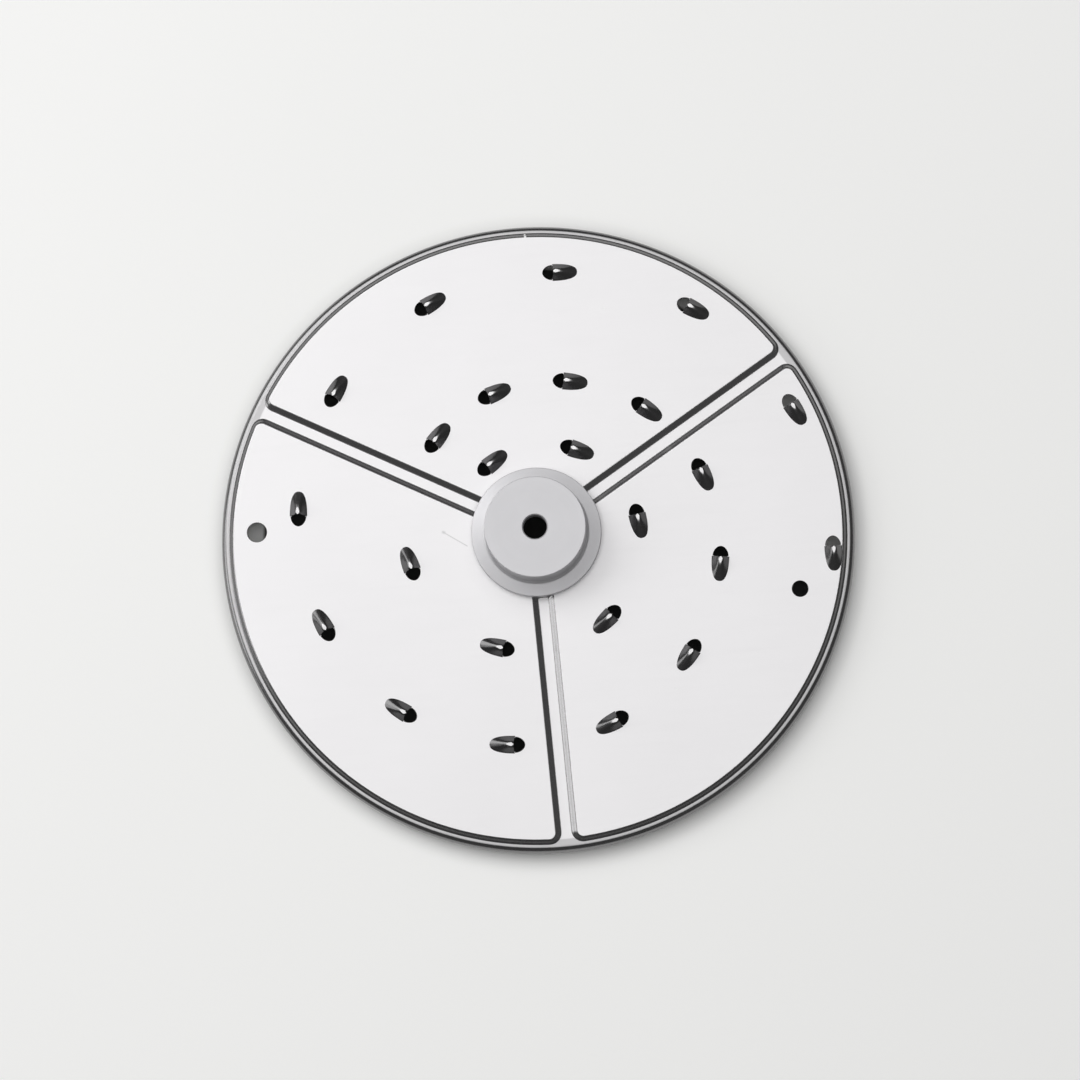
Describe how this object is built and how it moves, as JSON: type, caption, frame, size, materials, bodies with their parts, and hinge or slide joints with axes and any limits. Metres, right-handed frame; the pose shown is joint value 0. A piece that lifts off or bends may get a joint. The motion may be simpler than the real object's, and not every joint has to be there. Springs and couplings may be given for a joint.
{
  "type": "grating disc",
  "caption": "Round pressed steel grating disc with drawn teeth on a spiral, pressed grooves, a turned-down rim and a stepped central hub with a shaft socket.",
  "frame": {"origin": "on the disc's axis, at the level of the clamp ring's lower face", "axes": "+Z along the disc's axis, from the plate towards the hub's top; -Y along one pressed groove"},
  "size_m": [0.185, 0.185, 0.0201],
  "materials": {
    "stainless_sheet": "fine satin",
    "satin_aluminium": "satin",
    "turned_aluminium": "turned",
    "screw_steel": "plain"
  },
  "bodies": {
    "root": {"grating_plate": "stainless_sheet", "hub": "satin_aluminium", "clamp_ring": "turned_aluminium", "hub_screw_1": "screw_steel", "hub_screw_2": "screw_steel", "hub_screw_3": "screw_steel"}
  },
  "joints": []
}
